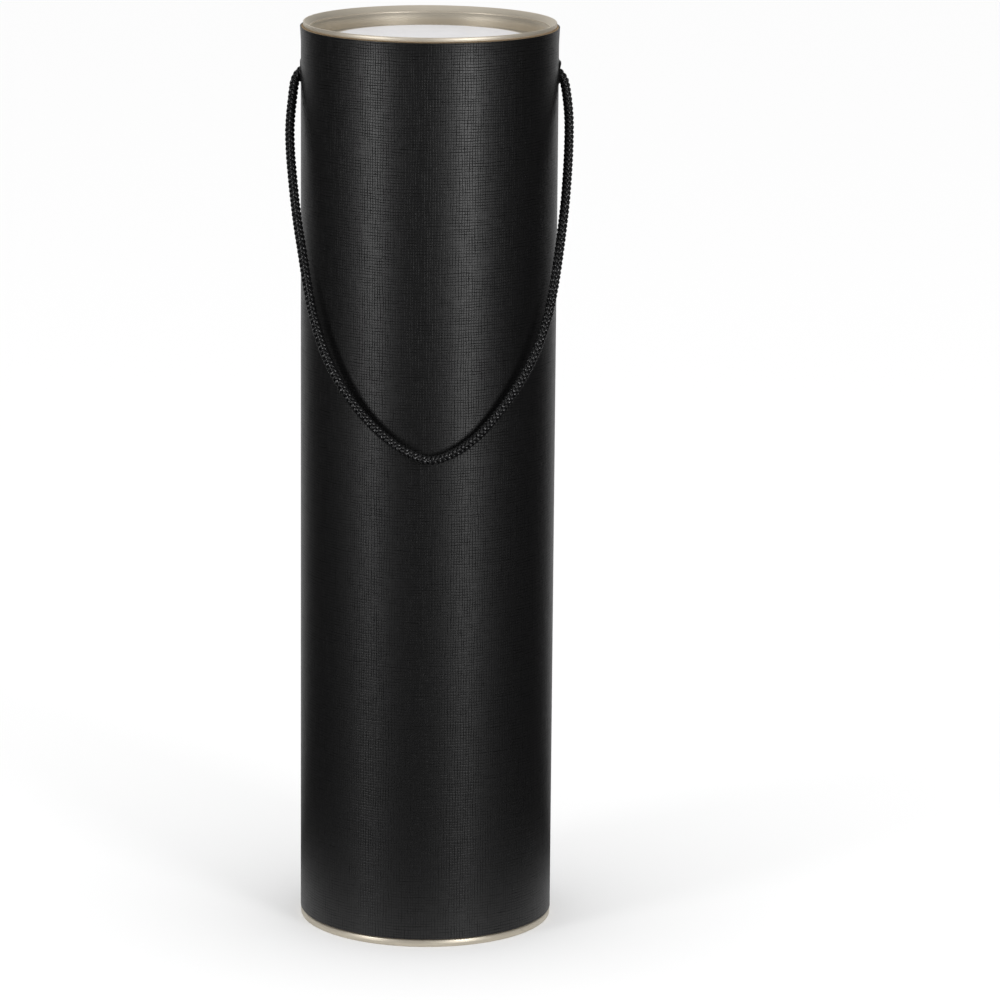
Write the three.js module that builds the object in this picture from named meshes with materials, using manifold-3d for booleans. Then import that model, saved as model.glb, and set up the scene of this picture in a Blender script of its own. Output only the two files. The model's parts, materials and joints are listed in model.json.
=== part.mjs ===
// Round gift tube for one wine bottle: a paperboard tube in linen-embossed paper, a pressed metal
// bottom, a pressed metal plug lid, and a braided carrying cord through two punched holes.
// Millimetres. Z is the tube's axis, z = 0 is the foot of the bottom's rim, and the cord hangs
// down the front, which is the -Y side.
import * as THREE from "three";
import { mergeVertices } from "three/addons/utils/BufferGeometryUtils.js";
import Module from "manifold-3d";

// Driving dimensions.
const HEIGHT = 330; // foot to the top of the lid's rim
const OUTER_R = 46; // outside of the paper wrap
const GAP = 0.3; // clearance between neighbouring pieces
const SIDES = 64; // facets round the tube

const WRAP_T = 0.45; // outer paper
const FLARE = 0.3; // how far the tube's mouth is pressed out by the lid
const FLARE_H = 7; // height of the flared mouth
const SEAM_W = 8; // overlap of the outer paper, at the back
const SEAM_T = 0.2;
const BOARD_T = 1.7; // paperboard wall
const LINER_T = 0.3; // inner paper

const SHEET = 0.5; // sheet metal of lid and bottom
const LID_RIM_R = 45.3; // outside of the lid's rolled rim
const LID_RIM_H = 2.1;
const FOOT_RIM_R = 45.9; // outside of the bottom's rolled rim
const FOOT_RIM_H = 2.6;

const CORD_R = 1.75; // braided cord, 3.5 mm across
const CORD_SIDES = 8;
const CORD_STEPS = 80;
const HOLE_Z = 312; // height of the cord holes
const HOLE_R = 3.6; // cord hole through the wall
const TILT = THREE.MathUtils.degToRad(20.3); // hanging loop's lean, out from straight down

// Derived radii.
const WRAP_IN = OUTER_R - WRAP_T;
const BOARD_OUT = WRAP_IN - GAP;
const BOARD_IN = BOARD_OUT - BOARD_T;
const LINER_OUT = BOARD_IN - GAP;
const LINER_IN = LINER_OUT - LINER_T;
const PLUG_R = LINER_IN - GAP; // outside of lid and bottom where they enter the bore
const PLUG_IN = PLUG_R - SHEET;

// Derived heights.
const WALL_BOTTOM = FOOT_RIM_H + GAP;
const WALL_TOP = HEIGHT - LID_RIM_H - GAP;

const wasm = await Module();
wasm.setup();

// A three.js geometry as a manifold solid.
function toSolid(geometry) {
  const bare = geometry.clone();
  bare.deleteAttribute("normal");
  bare.deleteAttribute("uv");
  const merged = mergeVertices(bare, 1e-4);
  const vertProperties = merged.attributes.position.array;
  const triVerts = new Uint32Array(merged.index.array);
  return new wasm.Manifold(new wasm.Mesh({ numProp: 3, vertProperties, triVerts }));
}

// A manifold solid as a three.js geometry.
function toGeometry(solid) {
  const mesh = solid.getMesh();
  const geometry = new THREE.BufferGeometry();
  const positions = new THREE.BufferAttribute(mesh.vertProperties, 3);
  geometry.setAttribute("position", positions);
  geometry.setIndex(new THREE.BufferAttribute(mesh.triVerts, 1));
  geometry.computeVertexNormals();
  return geometry;
}

// A solid turned about Z from a profile of [radius, height] pairs, faces out.
function turned(profile, sides = SIDES) {
  const open = profile[0][0] === 0; // this profile starts and ends on the axis
  const ring = open ? profile : [...profile, profile[0]];
  let area = 0;
  for (let i = 0; i < profile.length; i++) {
    const [r0, z0] = profile[i];
    const [r1, z1] = profile[(i + 1) % profile.length];
    area += r0 * z1 - r1 * z0;
  }
  const points = ring.map(([r, z]) => new THREE.Vector2(r, z));
  if (area < 0) points.reverse();
  const geometry = new THREE.LatheGeometry(points, sides);
  geometry.rotateX(Math.PI / 2);
  return geometry;
}

// Both cord holes as one cutter that runs across the tube along X.
function holeCutter() {
  const geometry = new THREE.CylinderGeometry(HOLE_R, HOLE_R, 4 * OUTER_R, 24);
  geometry.rotateZ(Math.PI / 2);
  geometry.translate(0, 0, HOLE_Z);
  return toSolid(geometry);
}

function named(name, geometry, color, roughness, metalness) {
  const material = new THREE.MeshStandardMaterial({ color, roughness, metalness });
  const mesh = new THREE.Mesh(geometry, material);
  mesh.name = name;
  return mesh;
}

// A wall from WALL_BOTTOM to WALL_TOP whose mouth flares out by FLARE.
function wallProfile(inner, outer) {
  return [
    [inner, WALL_BOTTOM],
    [outer, WALL_BOTTOM],
    [outer, WALL_TOP - FLARE_H],
    [outer + FLARE * 0.4, WALL_TOP - FLARE_H * 0.4],
    [outer + FLARE, WALL_TOP],
    [inner + FLARE, WALL_TOP],
    [inner + FLARE * 0.4, WALL_TOP - FLARE_H * 0.4],
    [inner, WALL_TOP - FLARE_H],
  ];
}

function boardTube() {
  const wall = toSolid(turned(wallProfile(BOARD_IN, BOARD_OUT)));
  const geometry = toGeometry(wall.subtract(holeCutter()));
  return named("board_tube", geometry, 0xa98d68, 0.9, 0);
}

// The paper's overlap: a thin strip down the back, over the closed sheet.
function seamStrip() {
  const half = SEAM_W / 2 / OUTER_R;
  const back = Math.PI / 2;
  const shape = new THREE.Shape();
  shape.absarc(0, 0, OUTER_R + SEAM_T, back - half, back + half, false);
  shape.absarc(0, 0, OUTER_R - WRAP_T / 2, back + half, back - half, true);
  shape.closePath();
  const depth = WALL_TOP - FLARE_H - WALL_BOTTOM;
  const geometry = new THREE.ExtrudeGeometry(shape, { depth, bevelEnabled: false, curveSegments: 3 });
  geometry.translate(0, 0, WALL_BOTTOM);
  return toSolid(geometry);
}

function linenWrap() {
  const sheet = toSolid(turned(wallProfile(WRAP_IN, OUTER_R)));
  const geometry = toGeometry(sheet.add(seamStrip()).subtract(holeCutter()));
  return named("linen_wrap", geometry, 0x17171a, 0.55, 0);
}

function innerLiner() {
  const sheet = toSolid(turned(wallProfile(LINER_IN, LINER_OUT)));
  const geometry = toGeometry(sheet.subtract(holeCutter()));
  return named("inner_liner", geometry, 0xd9d4c8, 0.85, 0);
}

// Rolled rim and plug wall shared by lid and bottom, as [radius, depth into the tube] pairs.
// face is the side seen from outside, from the axis to the wall, and back is the other side,
// from the wall to the axis.
function pressedEnd(rimR, rimH, face, back) {
  const foot = rimR - 1.6; // inner edge of the rim's flat crest
  return [
    ...face,
    [PLUG_IN, rimH],
    [PLUG_IN + 0.25, rimH * 0.45],
    [PLUG_IN + 0.8, rimH * 0.1],
    [foot, 0],
    [rimR - 0.6, 0],
    [rimR - 0.15, rimH * 0.2],
    [rimR, rimH * 0.5],
    [rimR - 0.15, rimH * 0.82],
    [rimR - 0.6, rimH],
    [PLUG_R, rimH],
    ...back,
  ];
}

// The lid's floor is a flat panel inside a shallow groove at the foot of the plug wall.
function lid() {
  const face = [
    [0, 6],
    [36, 6],
    [36.9, 6.4],
    [37.6, 7.8],
    [38.6, 8.1],
    [40.8, 8.1],
    [PLUG_IN - 0.3, 7.5],
    [PLUG_IN - 0.1, 6.8],
  ];
  const back = [
    [PLUG_R - 0.1, 7.4],
    [PLUG_R - 0.6, 8.3],
    [41.2, 8.6],
    [38.2, 8.6],
    [37, 8.1],
    [36.4, 6.8],
    [35.8, 6.5],
    [0, 6.5],
  ];
  const depths = pressedEnd(LID_RIM_R, LID_RIM_H, face, back);
  const profile = depths.map(([r, d]) => [r, HEIGHT - d]);
  return named("lid", turned(profile), 0xb9ae98, 0.3, 1);
}

// The bottom's panel has one stiffening step and stands clear of the surface below.
function bottomEnd() {
  const face = [
    [0, 6.5],
    [33, 6.5],
    [34, 7.5],
    [40.6, 7.5],
    [PLUG_IN - 0.4, 7],
    [PLUG_IN - 0.1, 6],
  ];
  const back = [
    [PLUG_R - 0.1, 6.8],
    [PLUG_R - 0.6, 7.7],
    [40.8, 8],
    [33.8, 8],
    [32.8, 7],
    [0, 7],
  ];
  const profile = pressedEnd(FOOT_RIM_R, FOOT_RIM_H, face, back);
  return named("bottom_end", turned(profile), 0xb1a795, 0.35, 1);
}

// The hanging loop as [across, down] pairs in its own plane, from the left hole to the right.
const LOOP = [
  [-42, -1.69], [-43.3, -1.34], [-44.61, -0.71], [-45.79, 0.15], [-46.77, 1.23],
  [-47.53, 2.47], [-48.04, 3.83], [-48.4, 5.9], [-48.75, 9], [-49.1, 12.5],
  [-49.5, 17], [-49.7, 22], [-49.4, 30], [-48.6, 39], [-47.6, 48],
  [-46.4, 57], [-45, 65.5], [-43.3, 76], [-40.6, 89.5], [-36.2, 103],
  [-30.4, 114.2], [-23.6, 123.6], [-14.8, 132.3], [-6.2, 138], [0.8, 140.2],
  [8.4, 138], [17, 132.1], [24.4, 123.9], [31.1, 114.4], [36.2, 105.2],
  [38.9, 99], [41.9, 90], [44.4, 78], [46.1, 66.5], [47.3, 57],
  [48.3, 48], [49, 39], [49.5, 30], [49.7, 22], [49.65, 17],
  [49.35, 12.5], [48.95, 9], [48.5, 5.9], [48.09, 3.83], [47.58, 2.47],
  [46.82, 1.23], [45.84, 0.15], [44.66, -0.71], [43.35, -1.34], [42, -1.69],
];

// A curve whose steps follow its points, so the bends at the holes get the short steps.
class LoopCurve extends THREE.CatmullRomCurve3 {
  getPointAt(u, target) {
    return this.getPoint(u, target);
  }
  getTangentAt(u, target) {
    return this.getTangent(u, target);
  }
  getSpacedPoints(divisions) {
    return this.getPoints(divisions);
  }
}

function handleCord() {
  const toPoint = ([x, v]) => new THREE.Vector3(x, -v * Math.sin(TILT), HOLE_Z - v * Math.cos(TILT));
  const extrudePath = new LoopCurve(LOOP.map(toPoint));
  const section = new THREE.Shape();
  for (let i = 0; i < CORD_SIDES; i++) {
    const a = ((i + 0.5) / CORD_SIDES) * 2 * Math.PI;
    const point = [CORD_R * Math.cos(a), CORD_R * Math.sin(a)];
    if (i) section.lineTo(...point);
    else section.moveTo(...point);
  }
  section.closePath();
  const options = { steps: CORD_STEPS, extrudePath, bevelEnabled: false };
  const geometry = new THREE.ExtrudeGeometry(section, options);
  return named("handle_cord", geometry, 0x0b0b0c, 0.8, 0);
}

// The stop knot on one end of the cord, inside the tube, with its short tail. It sits where the
// cord comes in, a little above the hole's middle.
function cordKnot(side) {
  const profile = [
    [0, 30.6],
    [CORD_R, 30.6],
    [CORD_R, 33.6],
    [3.2, 34.3],
    [4.1, 36],
    [4.3, 37.6],
    [3.9, 39.4],
    [2.9, 40.6],
    [1.9, 41.2],
    [0, 41.2],
  ];
  const geometry = turned(profile, 16);
  geometry.rotateY((side * Math.PI) / 2);
  const mesh = named(side > 0 ? "cord_knot_right" : "cord_knot_left", geometry, 0x0b0b0c, 0.8, 0);
  const above = -LOOP[0][1];
  mesh.position.set(0, above * Math.sin(TILT), HOLE_Z + above * Math.cos(TILT));
  return mesh;
}

const tube = new THREE.Group();
tube.add(boardTube(), linenWrap(), innerLiner(), bottomEnd());

const handle = new THREE.Group();
handle.add(handleCord(), cordKnot(-1), cordKnot(1));

const giftTube = new THREE.Group();
giftTube.add(tube, lid(), handle);

export default giftTube;
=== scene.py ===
"""Gift tube for one wine bottle, with a pressed metal bottom, a metal plug lid and a cord handle.

Metres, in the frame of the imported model: Z up the tube's axis, z = 0 on the surface it stands on,
the cord holes along X, and the hanging cord on the -Y side.
"""
import json
import math

import bmesh
import bpy
from mathutils import Matrix, Vector

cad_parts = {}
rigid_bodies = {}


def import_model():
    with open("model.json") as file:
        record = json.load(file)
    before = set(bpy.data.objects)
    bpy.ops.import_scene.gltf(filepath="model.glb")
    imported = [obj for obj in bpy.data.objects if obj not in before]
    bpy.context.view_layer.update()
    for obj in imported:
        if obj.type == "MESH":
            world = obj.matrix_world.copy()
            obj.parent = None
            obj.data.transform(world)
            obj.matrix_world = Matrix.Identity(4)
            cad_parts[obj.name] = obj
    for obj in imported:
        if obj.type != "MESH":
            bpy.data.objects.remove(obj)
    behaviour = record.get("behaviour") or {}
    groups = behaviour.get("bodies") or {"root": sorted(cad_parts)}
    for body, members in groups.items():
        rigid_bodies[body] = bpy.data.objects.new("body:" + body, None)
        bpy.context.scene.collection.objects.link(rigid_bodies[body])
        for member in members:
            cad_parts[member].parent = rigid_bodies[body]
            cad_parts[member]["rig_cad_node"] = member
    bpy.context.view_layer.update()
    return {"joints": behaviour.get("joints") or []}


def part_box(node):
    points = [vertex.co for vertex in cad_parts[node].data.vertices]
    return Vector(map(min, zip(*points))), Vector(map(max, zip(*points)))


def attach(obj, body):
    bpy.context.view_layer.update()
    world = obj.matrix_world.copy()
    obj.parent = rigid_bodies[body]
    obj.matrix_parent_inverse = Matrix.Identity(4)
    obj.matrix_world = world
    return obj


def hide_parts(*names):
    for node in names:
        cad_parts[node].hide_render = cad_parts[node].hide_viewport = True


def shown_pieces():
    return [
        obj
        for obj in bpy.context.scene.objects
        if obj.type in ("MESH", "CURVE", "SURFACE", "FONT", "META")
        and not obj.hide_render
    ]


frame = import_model()
MM = 0.001
TAU = 2 * math.pi

# ---- Sizes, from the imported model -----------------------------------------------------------

WRAP_LOW, WRAP_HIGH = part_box("linen_wrap")
LINER_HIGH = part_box("inner_liner")[1]
LID_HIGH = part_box("lid")[1]
BOTTOM_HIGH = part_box("bottom_end")[1]

TOP = LID_HIGH.z  # crest of the lid's rolled rim
WALL_FOOT, WALL_MOUTH = WRAP_LOW.z, WRAP_HIGH.z + 0.5 * MM  # up under the rolled rim
FLARE, FLARE_HEIGHT = 0.3 * MM, 7 * MM  # the mouth is pressed out a little by the lid
PAPER = 0.45 * MM
TUBE_R = WRAP_HIGH.x - FLARE  # outside of the paper
PAPER_R = TUBE_R - PAPER  # inside of the paper
LINER_R = LINER_HIGH.x - FLARE  # outside of the lining
LINING = 0.3 * MM
HAIR = 0.02 * MM  # between layers that are glued together
GAP = 0.3 * MM  # between the lining and what is pushed into the bore
SHEET = 0.5 * MM  # sheet metal of lid and bottom
PLUG_R = LINER_R - LINING - GAP  # outside of lid and bottom in the bore
PLUG_IN = PLUG_R - SHEET
HOLE_Z = frame["joints"][1]["pos_m"][2]  # the handle's hinge line runs through both holes
HOLE_R = 3.6 * MM

# The hanging loop as [across, down] in its own plane, in millimetres, from hole to hole.
LOOP = [
    [-42, -1.69], [-43.3, -1.34], [-44.61, -0.71], [-45.79, 0.15], [-46.77, 1.23],
    [-47.53, 2.47], [-48.04, 3.83], [-48.4, 5.9], [-48.75, 9], [-49.1, 12.5],
    [-49.5, 17], [-49.7, 22], [-49.4, 30], [-48.6, 39], [-47.6, 48],
    [-46.4, 57], [-45, 65.5], [-43.3, 76], [-40.6, 89.5], [-36.2, 103],
    [-30.4, 114.2], [-23.6, 123.6], [-14.8, 132.3], [-6.2, 138], [0.8, 140.2],
    [8.4, 138], [17, 132.1], [24.4, 123.9], [31.1, 114.4], [36.2, 105.2],
    [38.9, 99], [41.9, 90], [44.4, 78], [46.1, 66.5], [47.3, 57],
    [48.3, 48], [49, 39], [49.5, 30], [49.7, 22], [49.65, 17],
    [49.35, 12.5], [48.95, 9], [48.5, 5.9], [48.09, 3.83], [47.58, 2.47],
    [46.82, 1.23], [45.84, 0.15], [44.66, -0.71], [43.35, -1.34], [42, -1.69],
]
LEAN = math.radians(20.3)  # the loop's plane leans out from straight down
CORD_IN = 1.69 * MM  # the cord's ends come in this far above the holes' middle

# Half of a tight overhand knot, [into the bore, across, up] from its middle, in millimetres.
# Its other half is this half turned round the second axis.
HALF_KNOT = [
    [-5, 0, 0], [-3.75, 0, 0.03], [-2.03, 0, 0.18], [-0.78, 0.54, 1.22], [0.36, 1.82, 1.46],
    [1.51, 2.8, 0.64], [2.54, 2.88, -0.72], [3.17, 2.02, -2.06], [3.16, 0.52, -2.87],
    [2.52, -1.06, -2.87], [1.48, -2.14, -2.07], [0.45, -2.37, -0.72],
]
KNOT_X = 37.0 * MM  # from the tube's axis to the middle of each knot
SPAN_STEPS = 6  # steps to each span of the cord's route

# ---- Camera ---------------------------------------------------------------------------------


def place_camera():
    turn, pitch, roll = 0.014313, 0.220638, 0.0086428
    data = bpy.data.cameras.new("camera")
    data.lens, data.sensor_width = 186.88, 36
    data.clip_start, data.clip_end = 0.05, 60
    camera = bpy.data.objects.new("camera", data)
    place = Matrix.Translation((0, -1.840, 0.5681))
    place @= Matrix.Rotation(-turn, 4, "Z") @ Matrix.Rotation(math.pi / 2 - pitch, 4, "X")
    camera.matrix_world = place @ Matrix.Rotation(roll, 4, "Z")
    bpy.context.scene.collection.objects.link(camera)
    bpy.context.scene.camera = camera
    bpy.context.scene.view_settings.view_transform = "Standard"


place_camera()

# ---- Short ways to write node trees ---------------------------------------------------------


class Nodes:
    """Adds nodes to a tree. Each call gives the new node's output socket."""

    def __init__(self, tree):
        self.tree = tree

    def add(self, kind, inputs=(), out=0, **settings):
        node = self.tree.nodes.new(kind)
        for key, value in settings.items():
            setattr(node, key, value)
        pairs = inputs.items() if isinstance(inputs, dict) else enumerate(inputs)
        for key, value in pairs:
            if isinstance(value, bpy.types.NodeSocket):
                self.tree.links.new(value, node.inputs[key])
            elif value is not None:
                node.inputs[key].default_value = value
        return node.outputs[out]

    def math(self, operation, *values):
        return self.add("ShaderNodeMath", values, operation=operation)

    def length_of(self, x, y):
        square = self.math("ADD", self.math("MULTIPLY", x, x), self.math("MULTIPLY", y, y))
        return self.math("SQRT", square)

    def vector(self, operation, *values):
        return self.add("ShaderNodeVectorMath", values, operation=operation)

    def scaled(self, vector, scale):
        return self.add("ShaderNodeVectorMath", {0: vector, "Scale": scale}, operation="SCALE")

    def joined(self, x=0.0, y=0.0, z=0.0):
        return self.add("ShaderNodeCombineXYZ", (x, y, z))

    def parts(self, vector):
        return self.add("ShaderNodeSeparateXYZ", (vector,)).node.outputs

    def ramp(self, value, low, high, to_low=0.0, to_high=1.0, shape="SMOOTHSTEP"):
        """value from low to high becomes to_low to to_high, and stays there outside."""
        inputs = (value, low, high, to_low, to_high)
        return self.add("ShaderNodeMapRange", inputs, interpolation_type=shape)


class Recipe(Nodes):
    """A geometry tree with named inputs, which gives one finished mesh."""

    def __init__(self, name, **inputs):
        super().__init__(bpy.data.node_groups.new(name, "GeometryNodeTree"))
        face = self.tree.interface
        face.new_socket("Geometry", in_out="INPUT", socket_type="NodeSocketGeometry")
        kinds = {float: "NodeSocketFloat", int: "NodeSocketInt"}
        for key, value in inputs.items():
            kind = kinds.get(type(value), "NodeSocketMaterial")
            socket = face.new_socket(key, in_out="INPUT", socket_type=kind)
            if value is not None:
                socket.default_value = value
        face.new_socket("Geometry", in_out="OUTPUT", socket_type="NodeSocketGeometry")
        self.given = self.tree.nodes.new("NodeGroupInput").outputs

    def noted(self, name, kind="FLOAT"):
        return self.add("GeometryNodeInputNamedAttribute", {"Name": name}, data_type=kind)

    def note(self, geometry, name, value, kind="FLOAT"):
        inputs = {"Geometry": geometry, "Name": name, "Value": value}
        return self.add("GeometryNodeStoreNamedAttribute", inputs, data_type=kind)

    def run_of(self, count, name, length=1.0):
        """A line of count steps up Z whose points know how far along they are."""
        points = self.math("ADD", count, 1.0)
        step = self.joined(z=self.math("DIVIDE", length, count))
        line = self.add("GeometryNodeMeshLine", {"Count": points, "Offset": step})
        along = self.parts(self.add("GeometryNodeInputPosition"))[2]
        return self.add("GeometryNodeMeshToCurve", (self.note(line, name, along),))

    def section(self):
        """The given outline as a curve whose points know their radius and height."""
        outline = self.add("GeometryNodeMeshToCurve", (self.given["Geometry"],))
        x, _, z = self.parts(self.add("GeometryNodeInputPosition"))
        return self.note(self.note(outline, "reach", x), "rise", z)

    def swung(self, skin, reach, angle):
        """Puts a skin's points at reach from the axis and at angle from the front."""
        place = self.joined(
            self.math("MULTIPLY", reach, self.math("SINE", angle)),
            self.math("MULTIPLY", reach, self.math("MULTIPLY", self.math("COSINE", angle), -1.0)),
            self.noted("rise"),
        )
        return self.add("GeometryNodeSetPosition", {"Geometry": skin, "Position": place})

    def finish(self, geometry, material, crease=0.6):
        """Smooth faces with sharp creases, real geometry, and the material."""
        angle = self.add("GeometryNodeInputMeshEdgeAngle")
        sharp = self.math("GREATER_THAN", angle, crease)
        smooth = self.add("GeometryNodeSetShadeSmooth", (geometry,), domain="FACE")
        inputs = {0: smooth, "Selection": sharp, "Shade Smooth": False}
        creased = self.add("GeometryNodeSetShadeSmooth", inputs, domain="EDGE")
        real = self.add("GeometryNodeRealizeInstances", (creased,))
        done = self.add("GeometryNodeSetMaterial", {"Geometry": real, "Material": material})
        self.tree.links.new(done, self.tree.nodes.new("NodeGroupOutput").inputs[0])


def made(name, outline, *steps):
    """The plain mesh that the recipes make from an outline. steps are (recipe, inputs)."""
    seed = bpy.data.objects.new(name + "_outline", outline)
    bpy.context.scene.collection.objects.link(seed)
    for recipe, values in steps:
        modifier = seed.modifiers.new(recipe.tree.name, "NODES")
        modifier.node_group = recipe.tree
        for socket in recipe.tree.interface.items_tree:
            if socket.name in values:
                modifier[socket.identifier] = values[socket.name]
    graph = bpy.context.evaluated_depsgraph_get()
    mesh = bpy.data.meshes.new_from_object(
        seed.evaluated_get(graph), preserve_all_data_layers=True, depsgraph=graph
    )
    bpy.data.objects.remove(seed)
    bpy.data.meshes.remove(outline)
    mesh.name = name
    piece = bpy.data.objects.new(name, mesh)
    bpy.context.scene.collection.objects.link(piece)
    return piece


def outline_of(points, closed=False, **marks):
    """A chain of points as a mesh. marks are numbers kept on its points."""
    mesh = bpy.data.meshes.new("outline")
    count = len(points)
    edges = [(i, (i + 1) % count) for i in range(count if closed else count - 1)]
    mesh.from_pydata([tuple(p) for p in points], edges, [])
    for key, values in marks.items():
        mesh.attributes.new(key, "FLOAT", "POINT").data.foreach_set("value", values)
    return mesh


def rounded(corners, closed=False, steps=5, gap=1.5):
    """[radius, height, corner radius] in millimetres as a fine outline in metres.

    Corners become arcs, and long straights get a point every gap or so, so that shading
    stays even beside the arcs."""
    count = len(corners)
    arcs = []
    for i, (x, y, r) in enumerate(corners):
        here = Vector((x, y))
        if r <= 0 or (not closed and i in (0, count - 1)):
            arcs.append([here])
            continue
        to_last = (Vector(corners[i - 1][:2]) - here).normalized()
        to_next = (Vector(corners[(i + 1) % count][:2]) - here).normalized()
        half = to_last.angle(to_next) / 2
        if half > math.pi / 2 - 0.01:
            arcs.append([here])
            continue
        reach = r / math.tan(half)
        middle = here + (to_last + to_next).normalized() * (r / math.sin(half))
        start, end = here + to_last * reach - middle, here + to_next * reach - middle
        turn = start.angle_signed(end)
        arc = [start.copy() for _ in range(steps + 1)]
        for k, spoke in enumerate(arc):
            spoke.rotate(Matrix.Rotation(-turn * k / steps, 2))
            arc[k] = middle + spoke
        arcs.append(arc)
    line = []
    for i, arc in enumerate(arcs):
        line += arc
        if i == count - 1 and not closed:
            break
        start, end = arc[-1], arcs[(i + 1) % count][0]
        extra = int((end - start).length // gap)
        line += [start.lerp(end, k / (extra + 1)) for k in range(1, extra + 1)]
    return [(p.x * MM, 0, p.y * MM) for p in line]


def curved(points, steps):
    """A centripetal curve through the points, steps to each span."""
    chain = [points[0] * 2 - points[1], *points, points[-1] * 2 - points[-2]]
    line = []
    for a, b, c, d in zip(chain, chain[1:], chain[2:], chain[3:]):
        t1 = (b - a).length ** 0.5
        t2 = t1 + (c - b).length ** 0.5
        t3 = t2 + (d - c).length ** 0.5
        for k in range(steps):
            t = t1 + (t2 - t1) * k / steps
            ab = a * ((t1 - t) / t1) + b * (t / t1)
            bc = b * ((t2 - t) / (t2 - t1)) + c * ((t - t1) / (t2 - t1))
            cd = c * ((t3 - t) / (t3 - t2)) + d * ((t - t2) / (t3 - t2))
            abc = ab * ((t2 - t) / t2) + bc * (t / t2)
            bcd = bc * ((t3 - t) / (t3 - t1)) + cd * ((t - t1) / (t3 - t1))
            line.append(abc * ((t2 - t) / (t2 - t1)) + bcd * ((t - t1) / (t2 - t1)))
    return line + [points[-1]]


# ---- Finishes -------------------------------------------------------------------------------


class Finish(Nodes):
    """A procedural material round one principled shader."""

    def __init__(self, name, constants):
        self.material = bpy.data.materials.new(name)
        self.material.use_nodes = True
        super().__init__(self.material.node_tree)
        self.shader = self.tree.nodes["Principled BSDF"]
        for key, value in constants.items():
            self.shader.inputs[key].default_value = value

    def set(self, key, value):
        self.tree.links.new(value, self.shader.inputs[key])

    def object_mm(self):
        """The place on the piece, in millimetres."""
        place = self.add("ShaderNodeTexCoord", out="Object")
        return self.scaled(place, 1000.0)

    def round_the_tube(self, place, radius):
        """[round the tube, up it] in millimetres, counted from the front."""
        x, y, z = self.parts(place)
        angle = self.math("ARCTAN2", x, self.math("MULTIPLY", y, -1.0))
        return self.math("MULTIPLY", angle, radius), z

    def noise(self, vector, scale=1.0, detail=2.0, w=None, roughness=0.5):
        inputs = {"Vector": vector, "Scale": scale, "Detail": detail, "Roughness": roughness}
        if w is None:
            return self.add("ShaderNodeTexNoise", inputs)
        return self.add("ShaderNodeTexNoise", {**inputs, "W": w}, noise_dimensions="4D")

    def shade(self, value, dark, light, low=0.0, high=1.0):
        """A colour between dark and light as value goes from low to high."""
        factor = self.ramp(value, low, high, shape="LINEAR")
        inputs = {0: factor, 6: (*dark, 1), 7: (*light, 1)}
        return self.add("ShaderNodeMix", inputs, out=2, data_type="RGBA")

    def bump(self, height, distance, strength):
        inputs = {"Height": height, "Distance": distance, "Strength": strength}
        return self.add("ShaderNodeBump", inputs)


def linen_paper():
    """Black paper embossed like linen: two sets of uneven threads that cross."""
    f = Finish("linen_paper_black", {"Specular IOR Level": 0.5})
    round_it, up = f.round_the_tube(f.object_mm(), TUBE_R / MM)

    def threads(across, along, pitch, seed):
        drift = f.noise(
            f.joined(f.math("MULTIPLY", across, 0.3), f.math("MULTIPLY", along, 0.05), seed),
            detail=3.0,
        )
        wander = f.math("MULTIPLY", f.math("SUBTRACT", drift, 0.5), 1.7)
        phase = f.math("DIVIDE", f.math("ADD", across, wander), pitch)
        ridge = f.math("ABSOLUTE", f.math("COSINE", f.math("MULTIPLY", phase, math.pi)))
        groove_and_painted_shade = f.ramp(ridge, 0.0, 0.5, 1.0, 0.0)
        which = f.math("FLOOR", f.math("ADD", phase, 0.5))
        spot = f.joined(f.math("MULTIPLY", which, 3.7), f.math("MULTIPLY", along, 0.13), seed)
        weight = f.ramp(f.noise(spot, detail=2.0), 0.34, 0.62, 0.25, 1.0)
        return f.math("MULTIPLY", groove_and_painted_shade, weight)

    warp = threads(round_it, up, 1.0, 11.0)
    weft = threads(up, round_it, 1.0, 47.0)
    groove_and_painted_shade = f.math("MAXIMUM", warp, weft)
    fleck = f.noise(f.joined(round_it, up, 3.0), scale=2.6, detail=3.0)
    # The base colour is darker in the grooves: painted shade, as are the dulled shine below; the same
    # mask also drives the real bump.
    f.set("Base Color", f.shade(groove_and_painted_shade, (0.0021, 0.002, 0.0022), (0.0007, 0.0007, 0.0008)))
    rough = f.ramp(groove_and_painted_shade, 0, 1, 0.4, 0.5)
    f.set("Roughness", f.math("ADD", rough, f.ramp(fleck, 0.3, 0.7, -0.03, 0.03)))
    f.set("Metallic", f.math("MULTIPLY", groove_and_painted_shade, 0.75))  # metallic with the near-black colour dulls the grooves' shine: painted shade where grooves trap the shine
    height = f.math("SUBTRACT", f.math("MULTIPLY", fleck, 0.15), groove_and_painted_shade)
    f.set("Normal", f.bump(height, 0.05 * MM, 0.8))
    return f.material


def lacquered_metal(name, light, dark, roughness, metallic):
    """Champagne-lacquered sheet, with the fine rings that turning and pressing leave."""
    f = Finish(name, {"Metallic": metallic})
    fine, drawn_out = 4.95, 0.025  # the rings are narrow, and long round the piece
    place = f.object_mm()
    x, y, z = f.parts(place)
    rings = f.noise(
        f.joined(
            f.math("MULTIPLY", x, drawn_out),
            f.math("MULTIPLY", y, drawn_out),
            f.math("MULTIPLY", f.length_of(x, y), fine),
        ),
        detail=4.0,
        w=f.math("MULTIPLY", z, fine),
        roughness=0.65,
    )
    cloud = f.noise(place, scale=0.09, detail=3.0)
    tone = f.math("ADD", f.math("MULTIPLY", rings, 0.55), f.math("MULTIPLY", cloud, 0.45))
    f.set("Base Color", f.shade(tone, dark, light, 0.32, 0.68))
    f.set("Roughness", f.ramp(rings, 0.3, 0.7, roughness - 0.05, roughness + 0.06))
    f.set("Normal", f.bump(rings, 0.02 * MM, 0.35))
    return f.material


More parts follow.
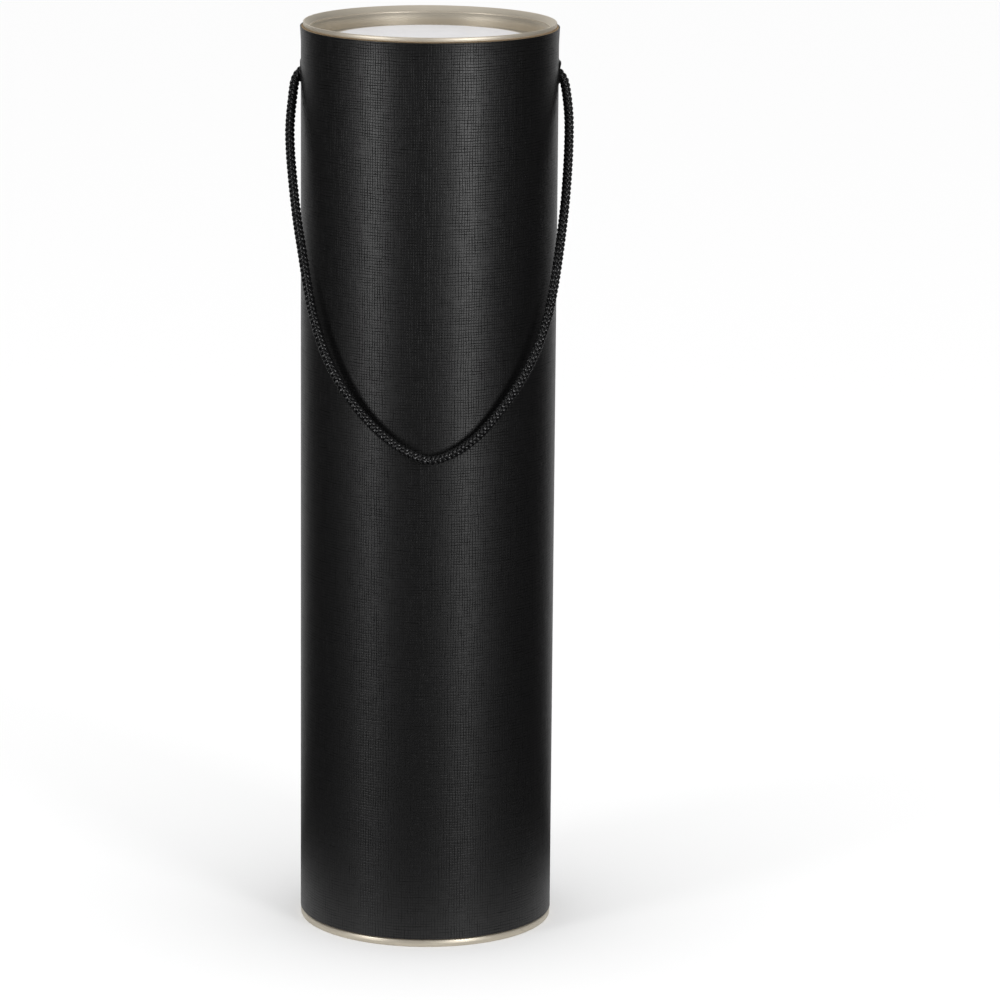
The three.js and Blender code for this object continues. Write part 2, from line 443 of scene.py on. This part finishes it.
def white_lacquer():
    """The lid's white floor: thick lacquer with a faint orange peel."""
    f = Finish("lid_floor_white_lacquer", {"Specular IOR Level": 0.5})
    place = f.object_mm()
    peel = f.noise(place, scale=0.8, detail=2.0)
    dust = f.noise(place, scale=0.12, detail=4.0)
    f.set("Base Color", f.shade(dust, (0.785, 0.78, 0.795), (0.81, 0.805, 0.82), 0.3, 0.7))
    f.set("Roughness", f.ramp(dust, 0.3, 0.7, 0.3, 0.38))
    f.set("Normal", f.bump(peel, 0.05 * MM, 0.3))
    return f.material


def tube_board():
    """Grey-brown board wound from plies, which show as rings on its cut edge."""
    f = Finish("tube_board_grey_brown", {"Specular IOR Level": 0.3})
    ply_mm = 0.42
    place = f.object_mm()
    x, y, _ = f.parts(place)
    radius = f.length_of(x, y)
    ply = f.math("ABSOLUTE", f.math("SINE", f.math("MULTIPLY", radius, math.pi / ply_mm)))
    fibre = f.noise(place, scale=1.3, detail=6.0, roughness=0.65)
    tone = f.math("ADD", f.math("MULTIPLY", ply, 0.35), f.math("MULTIPLY", fibre, 0.75))
    f.set("Base Color", f.shade(tone, (0.2, 0.135, 0.075), (0.5, 0.37, 0.22), 0.3, 0.95))
    f.set("Roughness", f.ramp(fibre, 0.3, 0.7, 0.82, 0.95))
    f.set("Normal", f.bump(tone, 0.12 * MM, 0.6))
    return f.material


def lining_paper():
    """Off-white lining, wound at a slant with a fine butt joint, and lightly fibrous."""
    f = Finish("lining_paper_off_white", {"Specular IOR Level": 0.3})
    place = f.object_mm()
    round_it, up = f.round_the_tube(place, LINER_R / MM)
    rise = 110.0  # of the wound strip in one turn, in millimetres
    slant = f.math("SUBTRACT", up, f.math("MULTIPLY", round_it, rise / (TAU * LINER_R / MM)))
    turn = f.math("SUBTRACT", f.math("FLOORED_MODULO", slant, rise), rise / 2)
    joint = f.ramp(f.math("ABSOLUTE", turn), 0.25, 0.0)
    grain = f.joined(round_it, f.math("MULTIPLY", up, 0.5), 0.0)
    fibre = f.noise(grain, scale=1.1, detail=6.0, roughness=0.6)
    tone = f.math("SUBTRACT", fibre, f.math("MULTIPLY", joint, 0.35))
    f.set("Base Color", f.shade(tone, (0.45, 0.42, 0.35), (0.72, 0.69, 0.61), 0.15, 0.7))
    f.set("Roughness", f.ramp(fibre, 0.3, 0.7, 0.78, 0.9))
    f.set("Normal", f.bump(tone, 0.1 * MM, 0.5))
    return f.material


def braid_yarn():
    """Black polyester yarn: fine fibres that run round and along each strand."""
    f = Finish("braid_yarn_black", {"Specular IOR Level": 0.6})
    place = f.add("ShaderNodeAttribute", attribute_name="section", out="Vector")
    along = f.add("ShaderNodeAttribute", attribute_name="along", out="Fac")
    x, y, _ = f.parts(place)
    angle = f.math("ARCTAN2", y, x)
    lay = f.math("ADD", f.math("MULTIPLY", angle, 9.0), f.math("MULTIPLY", along, 1900.0))
    fibre = f.math("ADD", f.math("MULTIPLY", f.math("SINE", lay), 0.5), 0.5)
    fuzz = f.noise(f.joined(x, y, f.math("MULTIPLY", along, 700.0)), scale=1.6, detail=3.0)
    tone = f.math("ADD", f.math("MULTIPLY", fibre, 0.6), f.math("MULTIPLY", fuzz, 0.4))
    f.set("Base Color", f.shade(tone, (0.0012, 0.0012, 0.0014), (0.004, 0.004, 0.0045), 0.2, 0.8))
    f.set("Roughness", f.ramp(fuzz, 0.3, 0.7, 0.24, 0.36))
    f.set("Normal", f.bump(tone, 0.04 * MM, 0.7))
    return f.material


LINEN = linen_paper()
# The lid and the bottom share one champagne lacquer. The lid's copy is set lighter, as painted light,
# and the bottom's copy darker, as painted shade.
LID_METAL_PAINTED_LIGHT = lacquered_metal(
    "lid_champagne_lacquer", light=(0.8, 0.73, 0.61), dark=(0.7, 0.635, 0.53),
    roughness=0.5, metallic=0.85,
)
BOTTOM_METAL_PAINTED_SHADE = lacquered_metal(
    "bottom_champagne_lacquer", light=(0.6, 0.55, 0.45), dark=(0.48, 0.43, 0.35),
    roughness=0.36, metallic=0.75,
)
WHITE = white_lacquer()
BOARD = tube_board()
LINING_PAPER = lining_paper()
YARN = braid_yarn()

# ---- Recipes --------------------------------------------------------------------------------


def turned_recipe():
    """Turns an outline of [radius, 0, height] round Z into a closed skin."""
    r = Recipe("Turned piece", Columns=256, Material=None)
    given = r.given
    outline = r.section()
    run = r.run_of(given["Columns"], "turn")
    skin = r.add("GeometryNodeCurveToMesh", {"Curve": run, "Profile Curve": outline})
    skin = r.swung(skin, r.noted("reach"), r.math("MULTIPLY", r.noted("turn"), TAU))
    closed = r.add("GeometryNodeMergeByDistance", {"Geometry": skin, "Distance": 0.002 * MM})
    r.finish(closed, given["Material"])
    return r


def rolled_recipe():
    """Rolls a sheet's cross section once round the tube, with its end lapped over its start."""
    r = Recipe(
        "Rolled sheet", Columns=300, Lap=0.17, Ease=0.055, Lift=0.2 * MM, Sink=0.25 * MM,
        Material=None,
    )
    given = r.given
    outline = r.section()
    run = r.run_of(given["Columns"], "turn")
    inputs = {"Curve": run, "Profile Curve": outline, "Fill Caps": True}
    skin = r.add("GeometryNodeCurveToMesh", inputs)
    gone = r.math("MULTIPLY", r.noted("turn"), r.math("ADD", given["Lap"], TAU))
    over = r.ramp(gone, r.math("SUBTRACT", TAU, given["Ease"]), TAU)
    under = r.ramp(gone, given["Lap"], r.math("ADD", given["Lap"], given["Ease"]), 1.0, 0.0)
    outer = r.noted("outer")
    inner = r.math("SUBTRACT", 1.0, outer)
    lift_out = r.math("MULTIPLY", r.math("MULTIPLY", outer, over), given["Lift"])
    clear = r.math("ADD", given["Sink"], HAIR)
    lift_in = r.math("MULTIPLY", r.math("MULTIPLY", inner, over), clear)
    sink_out = r.math("MULTIPLY", r.math("MULTIPLY", outer, under), given["Sink"])
    shift = r.math("SUBTRACT", r.math("ADD", lift_out, lift_in), sink_out)
    reach = r.math("ADD", r.noted("reach"), shift)
    half = r.math("MULTIPLY", given["Lap"], 0.5)
    angle = r.math("ADD", gone, r.math("SUBTRACT", math.pi, half))
    r.finish(r.swung(skin, reach, angle), given["Material"])
    return r


def hole_recipe():
    """Punches both cord holes through a wall, along X."""
    r = Recipe("Cord holes", Radius=HOLE_R, Height=HOLE_Z, Material=None)
    given = r.given
    through = 120 * MM  # longer than the tube is wide
    inputs = {"Vertices": 72, "Radius": given["Radius"], "Depth": through}
    punch = r.add("GeometryNodeMeshCylinder", inputs)
    inputs = {
        "Geometry": punch,
        "Translation": r.joined(z=given["Height"]),
        "Rotation": (0, math.pi / 2, 0),
    }
    punch = r.add("GeometryNodeTransform", inputs)
    inputs = {"Mesh 1": given["Geometry"], "Mesh 2": punch}
    wall = r.add("GeometryNodeMeshBoolean", inputs, operation="DIFFERENCE")
    r.finish(wall, given["Material"])
    return r


def braid_recipe():
    """Lays four yarns one way and four the other along a path, over and under by quarters."""
    r = Recipe(
        "Braid", Lay=6.8 * MM, Middle=1.1 * MM, Wave=0.25 * MM, Width=0.56 * MM,
        Height=0.42 * MM, Core=0.95 * MM, Turn=0.0, Yarns=4, Steps=18, Sides=8, Material=None,
    )
    given = r.given
    path = r.add("GeometryNodeMeshToCurve", (given["Geometry"],))
    length = r.add("GeometryNodeCurveLength", (path,))
    turns = r.math("DIVIDE", length, given["Lay"])
    count = r.math("CEIL", r.math("MULTIPLY", turns, given["Steps"]))
    run = r.run_of(count, "along", length)
    starts = r.add("GeometryNodePoints", {"Count": r.math("MULTIPLY", given["Yarns"], 2.0)})
    starts = r.note(starts, "yarn", r.add("GeometryNodeInputIndex"))
    yarns = r.add("GeometryNodeInstanceOnPoints", {"Points": starts, "Instance": run})
    yarns = r.add("GeometryNodeRealizeInstances", (yarns,))

    along, yarn = r.noted("along"), r.noted("yarn")
    back = r.math("MODULO", yarn, 2.0)  # 1 for the yarns that turn the other way
    way = r.math("SUBTRACT", 1.0, r.math("MULTIPLY", back, 2.0))
    pair = r.math("FLOOR", r.math("MULTIPLY", yarn, 0.5))
    rank = r.math("DIVIDE", r.math("ADD", pair, r.math("MULTIPLY", back, 0.5)), given["Yarns"])
    laid = r.math("ADD", r.math("DIVIDE", along, given["Lay"]), rank)
    angle = r.math("MULTIPLY", r.math("MULTIPLY", laid, TAU), way)
    swell = r.math("SINE", r.math("MULTIPLY", angle, 2.0))
    swell = r.math("MULTIPLY", swell, 1.6)  # cut off at its crests, where a yarn lies flat
    swell = r.math("MINIMUM", r.math("MAXIMUM", swell, -1.0), 1.0)
    over = r.math("MULTIPLY", r.math("MULTIPLY", swell, given["Wave"]), way)
    reach = r.math("ADD", given["Middle"], over)
    turned = r.math("ADD", angle, given["Turn"])

    inputs = {"Curves": path, "Length": along}
    sample = r.add("GeometryNodeSampleCurve", inputs, out="Position", mode="LENGTH").node.outputs
    side = r.vector("CROSS_PRODUCT", sample["Tangent"], sample["Normal"])
    spoke = r.vector(
        "ADD",
        r.scaled(sample["Normal"], r.math("COSINE", turned)),
        r.scaled(side, r.math("SINE", turned)),
    )
    place = r.vector("ADD", sample["Position"], r.scaled(spoke, reach))
    yarns = r.note(yarns, "spoke", spoke, "FLOAT_VECTOR")
    yarns = r.add("GeometryNodeSetPosition", {"Geometry": yarns, "Position": place})
    inputs = {"Curve": yarns, "Normal": r.noted("spoke", "FLOAT_VECTOR")}
    yarns = r.add("GeometryNodeSetCurveNormal", inputs, mode="FREE")

    ring = r.add("GeometryNodeCurvePrimitiveCircle", {"Resolution": given["Sides"], "Radius": 1.0})
    ring = r.note(ring, "section", r.add("GeometryNodeInputPosition"), "FLOAT_VECTOR")
    flat = r.joined(given["Height"], given["Width"], 1.0)
    flat = r.add("GeometryNodeTransform", {"Geometry": ring, "Scale": flat})
    inputs = {"Curve": yarns, "Profile Curve": flat, "Fill Caps": True}
    skin = r.add("GeometryNodeCurveToMesh", inputs)
    thick = r.joined(given["Core"], given["Core"], 1.0)
    core_ring = r.add("GeometryNodeTransform", {"Geometry": ring, "Scale": thick})
    inputs = {"Curve": path, "Profile Curve": core_ring, "Fill Caps": True}
    core = r.add("GeometryNodeCurveToMesh", inputs)
    both = r.tree.nodes.new("GeometryNodeJoinGeometry")
    for part in (skin, core):
        r.tree.links.new(part, both.inputs[0])
    r.finish(both.outputs[0], given["Material"], crease=1.2)
    return r


TURNED = turned_recipe()
ROLLED = rolled_recipe()
HOLES = hole_recipe()
BRAID = braid_recipe()

# ---- Cord and stop knots --------------------------------------------------------------------


def hanging_loop():
    down = Vector((0, -math.sin(LEAN), -math.cos(LEAN)))
    across = Vector((1, 0, 0))
    hole = Vector((0, 0, HOLE_Z))
    return curved([hole + (across * x + down * v) * MM for x, v in LOOP], SPAN_STEPS)


def knot_path(side):
    """The knot's path from the hole to its tail, inside the tube on one side."""
    half = [Vector(p) for p in HALF_KNOT]
    other = [Vector((-p.x, p.y, -p.z)) for p in reversed(half)]
    tail = Vector((6.2, 0, 0))
    points = half + other[:-1] + [tail]
    into = Vector((-side, 0, 0))
    up = Vector((0, math.sin(LEAN), math.cos(LEAN)))
    middle = Vector((side * KNOT_X, 0, HOLE_Z)) + up * CORD_IN
    turned = [into * p.x + Vector((0, side * p.y, p.z)) for p in points]
    return curved([middle + p * MM for p in turned], SPAN_STEPS)


def stop_knot(name, node, side):
    values = {
        "Lay": 5.4 * MM, "Middle": 0.92 * MM, "Wave": 0.2 * MM, "Width": 0.56 * MM,
        "Height": 0.34 * MM, "Material": YARN,
    }
    piece = made(name, outline_of(knot_path(side)), (BRAID, values))
    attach(piece, "handle")
    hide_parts(node)
    return piece


def braided_handle():
    path = hanging_loop()
    values = {"Turn": math.pi / 4, "Material": YARN}
    piece = made("braided_handle", outline_of(path), (BRAID, values))
    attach(piece, "handle")
    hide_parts("handle_cord")
    return piece


KNOTS = [
    stop_knot("stop_knot_left", "cord_knot_left", -1),
    stop_knot("stop_knot_right", "cord_knot_right", 1),
]
braided_handle()

# ---- The tube's walls -----------------------------------------------------------------------


def wall_section(inner, outer):
    """A wall's cross section in metres, with fine steps at the flared mouth and the holes.

    The second list is 1 on the outside and 0 on the inside."""
    heights = [WALL_FOOT, WALL_FOOT + 0.4 * MM, WALL_FOOT + 2 * MM]
    heights += [WALL_FOOT + 12 * MM * k for k in range(1, 25)]
    heights += [HOLE_Z + k * MM for k in (-8, -5, -2.5, 0, 2.5, 5, 7, 8.6)]
    bend = WALL_MOUTH - FLARE_HEIGHT
    heights += [bend + FLARE_HEIGHT * k / 8 for k in range(1, 9)]
    points = []
    for z in heights:
        points.append((outer + flare_at(z, bend), 0, z))
    for z in reversed(heights):
        points.append((inner + flare_at(z, bend), 0, z))
    outside = [1.0] * len(heights) + [0.0] * len(heights)
    return points, outside


def flare_at(z, bend):
    """How far the wall is pressed out at a height near the mouth."""
    t = max(0.0, (z - bend) / FLARE_HEIGHT)
    return FLARE * t * t * (1.6 - 0.6 * t)


def tube_walls():
    rows = (
        ("linen_paper", PAPER_R, TUBE_R, ROLLED, LINEN, "linen_wrap", "linen_paper"),
        ("wound_board", LINER_R + HAIR, PAPER_R - HAIR, TURNED, BOARD, "board_tube", "board"),
        ("bore_lining", LINER_R - LINING, LINER_R, TURNED, LINING_PAPER, "inner_liner", "liner_paper"),
    )
    for name, inner, outer, recipe, material, node, slot in rows:
        points, outside = wall_section(inner, outer)
        outline = outline_of(points, closed=True, outer=outside)
        values = {"Material": material}
        piece = made(name, outline, (recipe, values), (HOLES, values))
        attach(piece, "tube")
        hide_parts(node)


tube_walls()

# ---- Pressed metal ends ---------------------------------------------------------------------


def pressed_outline(rim_r, rim_h, bead, face, back):
    """An end's outline as [radius, depth, corner radius]: face, wall, rolled rim, wall, back.

    The wall leans out to the rim's rounded crest, which is bead wide."""
    plug_in, plug_out = PLUG_IN / MM, PLUG_R / MM
    return [
        *face,
        [plug_in, rim_h * 1.3, 5.0],
        [rim_r - bead, 0.15, 0.35],
        [rim_r - 0.1, 0.0, 0.3],
        [rim_r, rim_h * 0.5, 0.7],
        [rim_r - 0.15, rim_h, 0.5],
        [plug_out, rim_h, 0.25],
        *back,
    ]


def pressed_lid():
    face = [
        [0, 6, 0], [34.9, 6, 0], [36.3, 6, 0.5], [37.4, 8.1, 0.6], [41.3, 8.1, 0.9], [42.05, 6.8, 0.5],
    ]
    back = [
        [42.55, 7.4, 0.5], [41.9, 8.6, 0.8], [37.1, 8.6, 0.6], [36.0, 6.5, 0.4], [0, 6.5, 0],
    ]
    rim_h, bead = 1.85, 0.6
    depths = pressed_outline(LID_HIGH.x / MM, rim_h, bead, face, back)
    corners = [[r, TOP / MM - d, c] for r, d, c in depths]
    piece = made("plug_lid", outline_of(rounded(corners)), (TURNED, {"Material": LID_METAL_PAINTED_LIGHT}))
    floor_r, mid_sheet = 34.8, 6.25  # the floor's radius, and a depth between its two faces
    whiten(piece, floor_r * MM, (TOP / MM - mid_sheet) * MM)
    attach(piece, "lid")
    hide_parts("lid")


def whiten(piece, radius, height):
    """White lacquer on the lid's floor panel, on its upper side only."""
    piece.data.materials.append(WHITE)
    for face in piece.data.polygons:
        if face.center.xy.length < radius and face.center.z > height:
            face.material_index = 1


def pressed_bottom():
    face = [
        [0, 6.5, 0], [33, 6.5, 0.5], [34, 7.5, 0.5], [41.2, 7.5, 0.8], [42.05, 6, 0.4],
    ]
    back = [
        [42.55, 6.8, 0.4], [41.7, 8, 0.7], [33.8, 8, 0.5], [32.8, 7, 0.5], [0, 7, 0],
    ]
    rim_h, bead = 2.6, 1.6
    depths = pressed_outline(BOTTOM_HIGH.x / MM, rim_h, bead, face, back)
    piece = made("pressed_bottom", outline_of(rounded(depths)), (TURNED, {"Material": BOTTOM_METAL_PAINTED_SHADE}))
    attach(piece, "tube")
    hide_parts("bottom_end")


def hole_lip(side, rise):
    """Paper raised round a cord hole. rise, in millimetres, is added most above the cord."""
    section = [
        [3.35, 45.4, 0.05], [3.35, 46.1, 0.3], [3.75, 46.42, 0.12], [4.3, 46.08, 0.4],
        [5.6, 45.85, 0.05], [5.6, 45.4, 0.05],
    ]
    root, crest = 45.9, 0.5  # where the raised part starts, and its height
    name = "hole_lip_right" if side > 0 else "hole_lip_left"
    points = rounded(section, closed=True, gap=0.4)
    values = {"Columns": 96, "Material": LINEN}
    piece = made(name, outline_of(points, closed=True), (TURNED, values))
    piece.data.transform(Matrix.Rotation(side * math.pi / 2, 4, "Y"))
    for vertex in piece.data.vertices:
        x, y, z = vertex.co / MM
        reach = math.hypot(y, z)
        turn = math.atan2(y, z)
        ragged = 0.75 + 0.25 * math.sin(5 * turn + side) * math.sin(2 * turn)
        top = max(0.0, (abs(x) - root) / crest) * (0.55 + 0.45 * z / reach) * ragged
        bend = TUBE_R / MM - math.sqrt((TUBE_R / MM) ** 2 - y * y)
        vertex.co = (side * (abs(x) - bend + rise * top) * MM, y * MM, z * MM + HOLE_Z)
    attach(piece, "tube")


pressed_lid()
pressed_bottom()
hole_lip(-1, -0.15)
hole_lip(1, 0.5)


def face_outwards():
    """Turns the faces of every closed piece outwards."""
    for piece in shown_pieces():
        if "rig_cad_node" in piece:
            continue
        work = bmesh.new()
        work.from_mesh(piece.data)
        bmesh.ops.recalc_face_normals(work, faces=work.faces)
        work.to_mesh(piece.data)
        work.free()


face_outwards()

# ---- Floor and light ------------------------------------------------------------------------


def floor_finish():
    """A pale floor. In reflections it is dark, apart from near the tube and behind it."""
    f = Finish("floor_pale", {"Roughness": 0.9, "Specular IOR Level": 0.0})
    place = f.add("ShaderNodeTexCoord", out="Object")
    x, y, _ = f.parts(place)
    away = f.length_of(x, y)
    near = f.ramp(away, 0.046, 0.13, 0.8, 0.0)
    behind = f.ramp(f.math("DIVIDE", y, f.math("MAXIMUM", away, 0.001)), 0.66, 0.98)
    seen = f.math("MAXIMUM", near, behind)
    gloss = f.add("ShaderNodeLightPath", out="Is Glossy Ray")
    dim = f.math("MULTIPLY", gloss, f.math("SUBTRACT", 1.0, seen))
    f.set("Base Color", f.shade(dim, (0.9, 0.9, 0.9), (0.03, 0.03, 0.03)))
    return f.material


def studio():
    mesh = bpy.data.meshes.new("floor")
    reach = 25.0
    mesh.from_pydata(
        [(-reach, -reach, 0), (reach, -reach, 0), (reach, reach, 0), (-reach, reach, 0)],
        [], [(0, 1, 2, 3)],
    )
    floor = bpy.data.objects.new("floor", mesh)
    bpy.context.scene.collection.objects.link(floor)
    mesh.materials.append(floor_finish())

    world = bpy.data.worlds.new("studio")
    world.use_nodes = True
    bpy.context.scene.world = world
    n = Nodes(world.node_tree)
    background = world.node_tree.nodes["Background"]
    # Shiny parts reflect a pale wall behind and a pale ceiling, and little else.
    x, y, z = n.parts(n.add("ShaderNodeTexCoord", out="Generated"))
    flat = n.length_of(x, y)
    back = n.math("SUBTRACT", n.math("MULTIPLY", y, 0.98), n.math("MULTIPLY", x, 0.2))
    behind = n.ramp(n.math("DIVIDE", back, n.math("MAXIMUM", flat, 0.001)), 0.64, 0.96, 0.0, 0.6)
    above = n.ramp(z, 0.5, 0.95, 0.03, 0.6)
    glossy = n.math("MAXIMUM", behind, above)
    gloss = n.add("ShaderNodeLightPath", out="Is Glossy Ray")
    level = n.add("ShaderNodeMix", {0: gloss, 2: 1.08, 3: glossy}, data_type="FLOAT")
    n.tree.links.new(level, background.inputs["Strength"])
    background.inputs["Color"].default_value = (1, 1, 1, 1)

    softboxes = (
        ("softbox_left", -50, 1.3, 0.31, 0.3, 0.6, 5.4),
        ("softbox_right", 34, 1.3, 0.31, 0.33, 0.6, 7.0),
    )
    for name, azimuth, away, height, width, tall, power in softboxes:
        data = bpy.data.lights.new(name, "AREA")
        data.shape, data.size, data.size_y, data.energy = "RECTANGLE", width, tall, power
        lamp = bpy.data.objects.new(name, data)
        a = math.radians(azimuth)
        place = Vector((away * math.sin(a), -away * math.cos(a), height))
        aim = Vector((0, 0, 0.2)) - place
        lamp.matrix_world = Matrix.Translation(place) @ aim.to_track_quat("-Z", "Y").to_matrix().to_4x4()
        bpy.context.scene.collection.objects.link(lamp)


studio()
